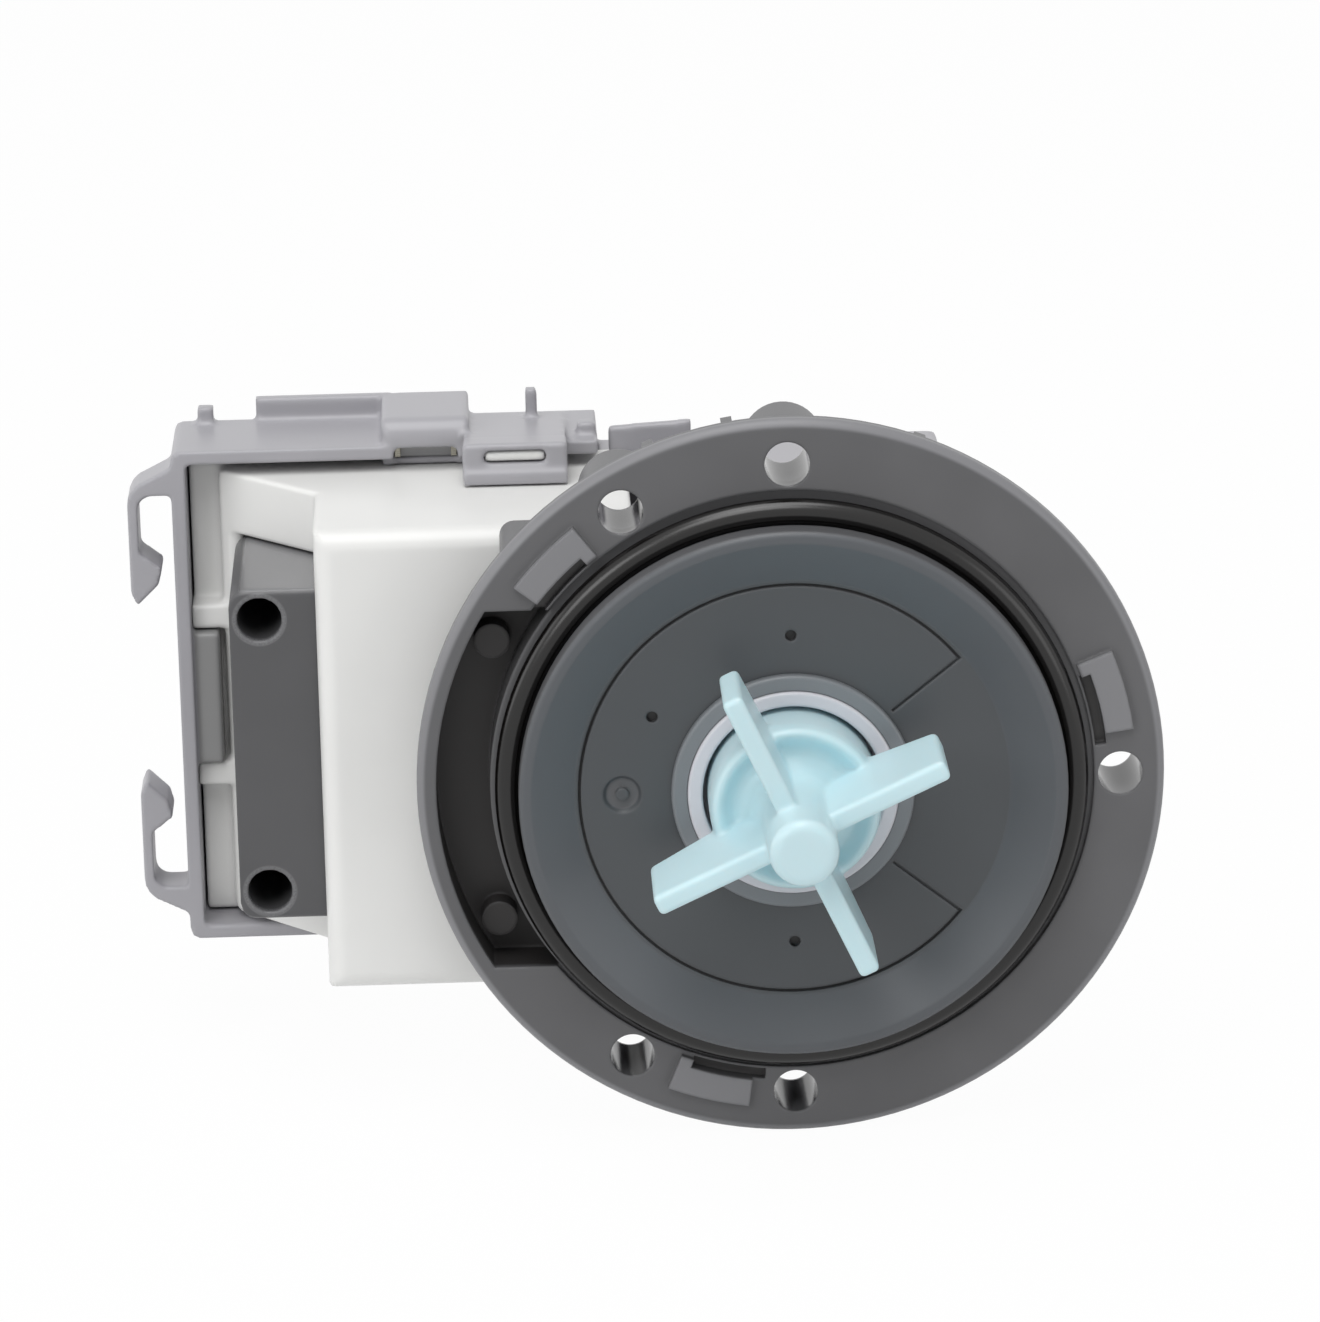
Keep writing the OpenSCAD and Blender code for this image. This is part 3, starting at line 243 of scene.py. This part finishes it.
canLook = {"colour": (126, 130, 134), "rough": 0.36, "edge": 0.3}
dress(["rotor_can"], moulded("canGrey", canLook))

sealLook = {"colour": (13, 11, 10), "rough": 0.22, "grain": 0.15, "bump": 0.08, "drift": 0.25, "edge": 0.1}
dress(["flange_o_ring", "carrier_o_ring", "shaft_seal", "rear_grommet"], moulded("sealRubber", sealLook))

collarLook = {"colour": (214, 214, 220), "rough": 0.35, "drift": 0.04, "bump": 0.06}
dress(["bearing_carrier"], moulded("collarGrey", collarLook))

bushLook = {"colour": (66, 64, 62), "rough": 0.5, "grain": 0.2, "bump": 0.3, "drift": 0.2}
dress(["front_bush", "rear_bush"], moulded("bushGraphite", bushLook))

housingLook = {"colour": (236, 236, 234), "rough": 0.36, "drift": 0.03, "bump": 0.06, "edge": 0.5}
housingWhite = moulded("housingWhite", housingLook)
dress(["coil_housing"], housingWhite)

bobbinLook = {"colour": (226, 224, 216), "rough": 0.4, "drift": 0.05, "bump": 0.06}
dress(["upper_bobbin", "lower_bobbin"], moulded("bobbinWhite", bobbinLook))

hubLook = {"colour": (214, 212, 205), "rough": 0.42, "drift": 0.05, "bump": 0.08}
dress(["rotor_hub", "drive_cam"], moulded("hubPlastic", hubLook))

washerLook = {"colour": (206, 200, 178), "rough": 0.35, "drift": 0.06, "bump": 0.05}
dress(["front_thrust_washer", "rear_thrust_washer"], moulded("washerPlastic", washerLook))

protectorLook = {"colour": (38, 38, 40), "rough": 0.35, "drift": 0.2, "bump": 0.05}
dress(["thermal_protector"], moulded("protectorBlack", protectorLook))

capLook = {"colour": (83, 83, 85), "rough": 0.36, "grain": 0.35, "bump": 0.15, "drift": 0.1, "edge": 0.4}
# hole rings: a painted highlight standing in for a chamfer round each hole
capHoles = {"x": -70.7, "z": 19.4, "radius": 3.0, "ring": 0.7, "chamferHighlightColour": (106, 106, 108),
            # top colour: a painted highlight, the cap's top face lighter as light falls on it; it is also
            # glossier
            "ringRough": -0.08, "front": 18.0, "top": 23.2, "topHighlightColour": (118, 118, 120), "topRough": 0.16}


def paintCap(flow, place, colour, roughness):
    x, y, z = split(flow, place)
    dx = x - capHoles["x"]
    dz = z.maths("ABSOLUTE", z) - capHoles["z"]
    reach = reachOf(dx, dz)
    # ring round each hole: painted highlight
    ring = within(reach, capHoles["radius"] - 0.3, capHoles["radius"] + capHoles["ring"])
    ring = ring * (1 - y.rise(capHoles["front"] + 0.6, capHoles["front"] + 1.4))
    # top face: painted highlight
    above = z.rise(capHoles["top"], capHoles["top"] + 0.2)
    colour = above.mixed(ring.mixed(colour, tone(*capHoles["chamferHighlightColour"])), tone(*capHoles["topHighlightColour"]))
    roughness = roughness + ring * capHoles["ringRough"]
    return colour, roughness + above * (capHoles["topRough"] - capLook["rough"])


capGrey = moulded("capGrey", capLook, paintCap)
dress(["yoke_cap"], capGrey)

coverLook = {"colour": (169, 168, 173), "rough": 0.36, "grain": 0.3, "bump": 0.08, "drift": 0.05, "edge": 0.4,
             # edge colour: a painted highlight along the cover's edges
             "edgeHighlight": 0.25, "edgeHighlightColour": (206, 206, 207)}
# stop block: painted shade, the block between the cover wall and the housing darkened where shade falls
shadedStopBlock = {"x": (-81.3, -77.2), "y": (44.8, 50.4), "halfZ": 9.7, "colour": (140, 140, 140)}
pinMarks = {"spots": ((-72, 18), (-72, -20), (-32, 18), (-32, -20), (8, 18), (8, -20)), "radius": 2.4,
            "line": 0.22, "back": 60.6, "colour": (128, 127, 131), "rough": 0.1}


def paintCover(flow, place, colour, roughness):
    x, y, z = split(flow, place)
    # painted shade on the stop block
    stopBlockShade = within(x, *shadedStopBlock["x"]) * within(y, *shadedStopBlock["y"])
    stopBlockShade = stopBlockShade * within(z, -shadedStopBlock["halfZ"], shadedStopBlock["halfZ"])
    colour = stopBlockShade.mixed(colour, tone(*shadedStopBlock["colour"]))
    marks = None
    for spotX, spotZ in pinMarks["spots"]:
        inner, outer = pinMarks["radius"] - pinMarks["line"], pinMarks["radius"] + pinMarks["line"]
        line = within(reachOf(x - spotX, z - spotZ), inner, outer, 0.12)
        marks = line if marks is None else marks + line
    marks = marks * y.rise(pinMarks["back"], pinMarks["back"] + 0.3)
    return marks.mixed(colour, tone(*pinMarks["colour"])), roughness + marks * pinMarks["rough"]


coverGrey = moulded("coverGrey", coverLook, paintCover)
dress(["rear_cover"], coverGrey)

magnetLook = {"colour": (52, 52, 55), "rough": 0.6, "grain": 0.12, "bump": 0.4, "drift": 0.2}
dress(["rotor_magnet"], moulded("magnetFerrite", magnetLook))

impellerLook = {"colour": (206, 233, 239), "rough": 0.34, "grain": 0.4, "bump": 0.04, "drift": 0.05,
                "edge": 0.5, "fixed": {"Subsurface Weight": 0.25, "Subsurface Radius": (0.6, 1.0, 1.1),
                                       "Subsurface Scale": 1.5 * mm}}
impellerBlue = moulded("impellerBlue", impellerLook)
dress(["impeller", "impeller_cap"], impellerBlue)

# impeller: a spun body with a swept neck, four blades and the drive stop, blended into one soft moulding
impellerShape = {"noseFront": -30.0, "noseRadius": 4.6, "noseRound": 1.5, "bore": 2.3, "boreEnd": -26.3,
                 "neck": ((4.6, -15.2), (4.8, -13.6), (5.3, -12.1), (6.2, -10.9), (7.3, -10.2), (8.3, -10.2)),
                 "drum": ((9.0, -10.7), (9.6, -11.4), (10.1, -11.7), (10.6, -11.7), (11.1, -11.1),
                          (11.4, -9.8), (11.4, 0.2), (9.9, 0.2), (9.9, -5.4)),
                 "bladeCount": 4, "firstAngle": 25, "bladeThick": 2.8, "bladeRound": 0.6,
                 "blade": ((3.0, -23.5), (21.0, -23.5), (21.0, -10.8), (8.2, -7.2), (3.0, -6.8)),
                 "stop": ((4.7, -5.7), (10.2, -5.7), (10.2, -1.1), (4.7, -1.1)),
                 "stopFrom": 150, "stopSpan": 60, "stopSteps": 16, "spinSteps": 96,
                 "voxel": 0.27, "smoothing": 7}


def newMesh(bm, name, material):
    bmesh.ops.remove_doubles(bm, verts=bm.verts, dist=mergeGap)
    bmesh.ops.recalc_face_normals(bm, faces=bm.faces)
    for face in bm.faces:
        face.smooth = True
    mesh = bpy.data.meshes.new(name)
    bm.to_mesh(mesh)
    bm.free()
    mesh.materials.append(material)
    piece = bpy.data.objects.new(name, mesh)
    scene.collection.objects.link(piece)
    return piece


def chain(bm, points, turn=0, closed=False):  # a line of edges through points of radius and y, in mm
    spots = [bm.verts.new((r * math.cos(turn) * mm, y * mm, r * math.sin(turn) * mm)) for r, y in points]
    pairs = list(zip(spots, spots[1:])) + ([(spots[-1], spots[0])] if closed else [])
    return spots + [bm.edges.new(pair) for pair in pairs]


def blendAll(piece, shape):  # joins what overlaps and rounds every edge
    blend = piece.modifiers.new("blend", "REMESH")
    blend.mode = "VOXEL"
    blend.voxel_size = shape["voxel"] * mm
    blend.use_smooth_shade = True
    soften = piece.modifiers.new("soften", "SMOOTH")
    soften.factor = 0.5
    soften.iterations = shape["smoothing"]


def buildImpeller():
    shape = impellerShape
    bm = bmesh.new()
    nose = []
    for k in range(7):
        a = math.radians(90 * k / 6)
        nose.append((shape["noseRadius"] - shape["noseRound"] * (1 - math.sin(a)),
                     shape["noseFront"] + shape["noseRound"] * (1 - math.cos(a))))
    outline = [(0, shape["noseFront"])] + nose + list(shape["neck"]) + list(shape["drum"])
    outline += [(shape["bore"], shape["drum"][-1][1]), (shape["bore"], shape["boreEnd"])]
    outline += [(0, shape["boreEnd"])]
    bmesh.ops.spin(bm, geom=chain(bm, outline), cent=(0, 0, 0), axis=(0, 1, 0), angle=2 * math.pi,
                   steps=shape["spinSteps"], use_merge=True)
    bmesh.ops.remove_doubles(bm, verts=bm.verts, dist=mergeGap)

    start = chain(bm, shape["stop"], math.radians(shape["stopFrom"]), True)
    bmesh.ops.spin(bm, geom=start, cent=(0, 0, 0), axis=(0, 1, 0), angle=-math.radians(shape["stopSpan"]),
                   steps=shape["stopSteps"])
    bmesh.ops.holes_fill(bm, edges=[edge for edge in bm.edges if edge.is_boundary], sides=4)

    for k in range(shape["bladeCount"]):
        blade = bmesh.new()
        spots = [blade.verts.new((r * mm, y * mm, -shape["bladeThick"] / 2 * mm)) for r, y in shape["blade"]]
        side = blade.faces.new(spots)
        grown = bmesh.ops.extrude_face_region(blade, geom=[side], use_keep_orig=True)["geom"]
        moved = [v for v in grown if isinstance(v, bmesh.types.BMVert)]
        bmesh.ops.translate(blade, vec=(0, 0, shape["bladeThick"] * mm), verts=moved)
        bmesh.ops.recalc_face_normals(blade, faces=blade.faces)
        bmesh.ops.bevel(blade, geom=blade.edges, offset=shape["bladeRound"] * mm, offset_type="OFFSET",
                        segments=4, profile=0.5, affect="EDGES", material=-1)
        turn = -math.radians(shape["firstAngle"] + 360 * k / shape["bladeCount"])
        bmesh.ops.rotate(blade, cent=(0, 0, 0), matrix=Matrix.Rotation(turn, 3, "Y"), verts=blade.verts)
        carried = bpy.data.meshes.new("bladeShape")
        blade.to_mesh(carried)
        blade.free()
        bm.from_mesh(carried)
        bpy.data.meshes.remove(carried)
    piece = newMesh(bm, "impellerMoulding", impellerBlue)
    blendAll(piece, shape)
    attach(piece, "impeller_set")
    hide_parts("impeller")
    return piece


buildImpeller()
print("impeller moulded")

# shells: the solid's own form with every edge rounded, as it leaves the mould
shells = {"rear_cover": {"piece": "coverMoulding", "slot": "cover_plastic", "look": coverGrey, "voxel": 0.4,
                         "smoothing": 3, "keep": 0.36,
                         "panel": {"from": 62.0, "x": (-78.0, 20.5), "z": (-31.5, 27.8), "deep": 0.8}},
          "coil_housing": {"piece": "housingMoulding", "slot": "housing_plastic", "look": housingWhite,
                           "voxel": 0.42, "smoothing": 4, "keep": 0.5},
          "yoke_cap": {"piece": "capMoulding", "slot": "cap_plastic", "look": capGrey, "voxel": 0.34,
                       "smoothing": 3, "keep": 0.7}}


def sinkPanel(bm, panel):  # a shallow field inside a flat border on the back
    bmesh.ops.remove_doubles(bm, verts=bm.verts, dist=mergeGap)
    for axis in (0, 2):
        for place in panel["xyz"[axis]]:
            back = [face for face in bm.faces if all(v.co.y > panel["from"] * mm for v in face.verts)]
            rims = {edge for face in back for edge in face.edges}
            spots = {v for face in back for v in face.verts}
            across = Vector([1.0 if k == axis else 0.0 for k in range(3)])
            bmesh.ops.bisect_plane(bm, geom=back + list(rims) + list(spots), dist=0.001 * mm,
                                   plane_co=across * place * mm, plane_no=across)
    field = []
    for face in bm.faces:
        middle = face.calc_center_median() / mm
        inX = panel["x"][0] < middle.x < panel["x"][1]
        inZ = panel["z"][0] < middle.z < panel["z"][1]
        if inX and inZ and all(v.co.y > panel["from"] * mm for v in face.verts):
            field.append(face)
    grown = bmesh.ops.extrude_face_region(bm, geom=field)["geom"]
    moved = [v for v in grown if isinstance(v, bmesh.types.BMVert)]
    bmesh.ops.translate(bm, vec=(0, -panel["deep"] * mm, 0), verts=moved)
    bmesh.ops.delete(bm, geom=[face for face in field if face.is_valid], context="FACES")


def buildShell(node, shape):
    bm = bmesh.new()
    bm.from_mesh(nodes[node].data)
    if "panel" in shape:
        sinkPanel(bm, shape["panel"])
    piece = newMesh(bm, shape["piece"], shape["look"])
    blendAll(piece, shape)
    thin = piece.modifiers.new("thin", "DECIMATE")
    thin.ratio = shape["keep"]
    level = piece.modifiers.new("level", "WEIGHTED_NORMAL")
    level.keep_sharp = False
    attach(piece, "pump_body")
    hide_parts(node)


for node, shape in shells.items():
    buildShell(node, shape)
print("shells moulded:", len(shells))


# metals: lines across one axis, with worn roughness; a wave repeats every 0.314 / scale
def metal(name, look):
    made, flow = startMaterial(name)
    place = flow.node("TexCoord", None, None, 3)
    lines = flow.node("TexWave", {"wave_type": "BANDS", "bands_direction": look["across"]},
                      {"Vector": place, "Scale": 0.314 / (look["pitch"] * mm),
                       "Distortion": look.get("stray", 0.4), "Detail": 2.0, "Detail Scale": 1.5}, 1)
    slow = noiseOf(flow, place, 9, 3)
    colour = (lines * 0.6 + slow * 0.4).mixed(tone(*look["dark"]), tone(*look["light"]))
    roughness = look["rough"] + (slow - 0.5) * 0.16 + (lines - 0.5) * 0.1
    soft = flow.node("Bevel", {"samples": 4}, {"Radius": 0.2 * mm})
    normal = flow.node("Bump", None, {"Strength": look["bump"], "Distance": look["height"] * mm,
                                      "Height": lines, "Normal": soft})
    return finishMaterial(made, flow, colour, roughness, normal, {"Metallic": look.get("metallic", 1.0)})


coreLook = {"across": "Y", "pitch": 0.5, "dark": (96, 97, 101), "light": (172, 173, 178), "rough": 0.42,
            "bump": 0.7, "height": 0.08}
dress(["lamination_stack"], metal("coreSheets", coreLook))
coilLook = {"across": "X", "pitch": 0.32, "dark": (120, 62, 30), "light": (206, 128, 78), "rough": 0.3,
            "bump": 0.9, "height": 0.12, "stray": 0.8}
dress(["upper_coil", "lower_coil"], metal("coilCopper", coilLook))
shaftLook = {"across": "Y", "pitch": 0.12, "dark": (178, 178, 182), "light": (214, 214, 218), "rough": 0.22,
             "bump": 0.2, "height": 0.01}
dress(["pump_shaft"], metal("shaftSteel", shaftLook))
screwLook = {"across": "Y", "pitch": 0.7, "dark": (146, 147, 152), "light": (204, 205, 208), "rough": 0.3,
             "bump": 0.6, "height": 0.1, "stray": 0.1}
dress(["stack_screws"], metal("screwZinc", screwLook))
# tin colours set darker than bare tin, as painted shade for the slot the tabs sit in
tabLook = {"across": "Z", "pitch": 0.25, "dark": (126, 123, 112), "light": (168, 165, 154), "rough": 0.28,
           "bump": 0.15, "height": 0.02}
dress(["terminal_tabs"], metal("tabTin", tabLook))
print("materials on", sum(1 for o in nodes.values() if o.data.materials), "nodes")


# camera as in the photograph: azimuth, elevation, distance, focal length in pixels and the origin's pixel
shot = {"azimuth": -3.02, "elevation": 18.33, "roll": -0.76, "distance": 0.8, "focal": 5994.0,
        "width": 1320, "height": 1322, "originX": 791.6, "originY": 782.6}


def placeCamera():
    azimuth, elevation, roll = (math.radians(shot[key]) for key in ("azimuth", "elevation", "roll"))
    back = Vector((math.sin(azimuth) * math.cos(elevation), -math.cos(azimuth) * math.cos(elevation),
                   math.sin(elevation)))
    right = Vector((0, 0, 1)).cross(back).normalized()
    up = back.cross(right)
    right, up = math.cos(roll) * right + math.sin(roll) * up, math.cos(roll) * up - math.sin(roll) * right
    yaw = math.atan((shot["originX"] - shot["width"] / 2) / shot["focal"])
    pitch = math.atan(-(shot["originY"] - shot["height"] / 2) / shot["focal"] * math.cos(yaw))
    place = back * shot["distance"]
    back, right = math.cos(yaw) * back + math.sin(yaw) * right, math.cos(yaw) * right - math.sin(yaw) * back
    back, up = math.cos(pitch) * back + math.sin(pitch) * up, math.cos(pitch) * up - math.sin(pitch) * back
    turn = Matrix((right, up, back)).transposed().to_4x4()
    lens = bpy.data.cameras.new("shotCamera")
    lens.sensor_fit = "HORIZONTAL"
    lens.sensor_width = 36
    lens.lens = 36 * shot["focal"] / shot["width"]
    lens.clip_start = 0.05
    lens.clip_end = 20
    camera = bpy.data.objects.new("shotCamera", lens)
    camera.matrix_world = Matrix.Translation(place) @ turn
    scene.collection.objects.link(camera)
    scene.camera = camera


placeCamera()
print("camera placed")

# studio: a white world, soft lamps above and on the left, a weaker fill and a pale floor
studio = {"ambient": 0.3, "floorDrop": 0.3, "floorSize": 6.0, "floorWhite": 0.97,
          "lamps": {"key": ((-0.9, -0.95, 0.65), 0.7, 4.0), "front": ((-0.2, -0.75, 1.2), 0.8, 5.8),
                    "top": ((-0.1, -0.1, 1.4), 0.9, 7.0), "left": ((-1.35, 0.05, 0.35), 0.8, 1.9),
                    "fill": ((1.1, -0.85, 0.3), 0.8, 1.8)}}


def lightPath(flow):  # 1 for the camera and for what it sees in a reflection or through clear material
    path = flow.node("LightPath").socket.node
    camera, glossy, through = (Flow(flow.tree, path.outputs[key])
                               for key in ("Is Camera Ray", "Is Glossy Ray", "Is Transmission Ray"))
    return camera.maths("MINIMUM", camera + glossy + through, 1.0)


def buildStudio():
    world = bpy.data.worlds.new("studioWorld")
    scene.world = world
    world.use_nodes = True
    world.node_tree.nodes.clear()
    flow = Flow(world.node_tree)
    seen = lightPath(flow)
    strength = studio["ambient"] + seen * (1 - studio["ambient"])
    sky = flow.node("Background", None, {"Color": (1, 1, 1, 1), "Strength": strength})
    flow.node("OutputWorld", None, {"Surface": sky})

    for name, (place, size, power) in studio["lamps"].items():
        lamp = bpy.data.lights.new(name + "Lamp", "AREA")
        lamp.shape = "DISK"
        lamp.size = size
        lamp.energy = power
        holder = bpy.data.objects.new(name + "Lamp", lamp)
        aim = Vector((-0.02, 0.0, 0.0)) - Vector(place)
        holder.matrix_world = Matrix.Translation(place) @ aim.to_track_quat("-Z", "Y").to_matrix().to_4x4()
        scene.collection.objects.link(holder)

    bm = bmesh.new()
    bmesh.ops.create_grid(bm, x_segments=1, y_segments=1, size=studio["floorSize"] / 2)
    bmesh.ops.translate(bm, vec=(0, 0, cadBox[0][2] - studio["floorDrop"] * mm), verts=bm.verts)
    mesh = bpy.data.meshes.new("studioFloor")
    bm.to_mesh(mesh)
    bm.free()
    floor = bpy.data.objects.new("studioFloor", mesh)
    scene.collection.objects.link(floor)
    made, flow = startMaterial("floorPale")
    seen = lightPath(flow)
    shadow = flow.node("BsdfDiffuse", None, {"Color": (0.9, 0.9, 0.9, 1)})
    glow = flow.node("Emission", None, {"Color": (1, 1, 1, 1), "Strength": 1.0})
    both = flow.node("MixShader", None, {0: seen * studio["floorWhite"], 1: shadow, 2: glow})
    flow.node("OutputMaterial", None, {"Surface": both})
    mesh.materials.append(made)


buildStudio()
print("studio built")
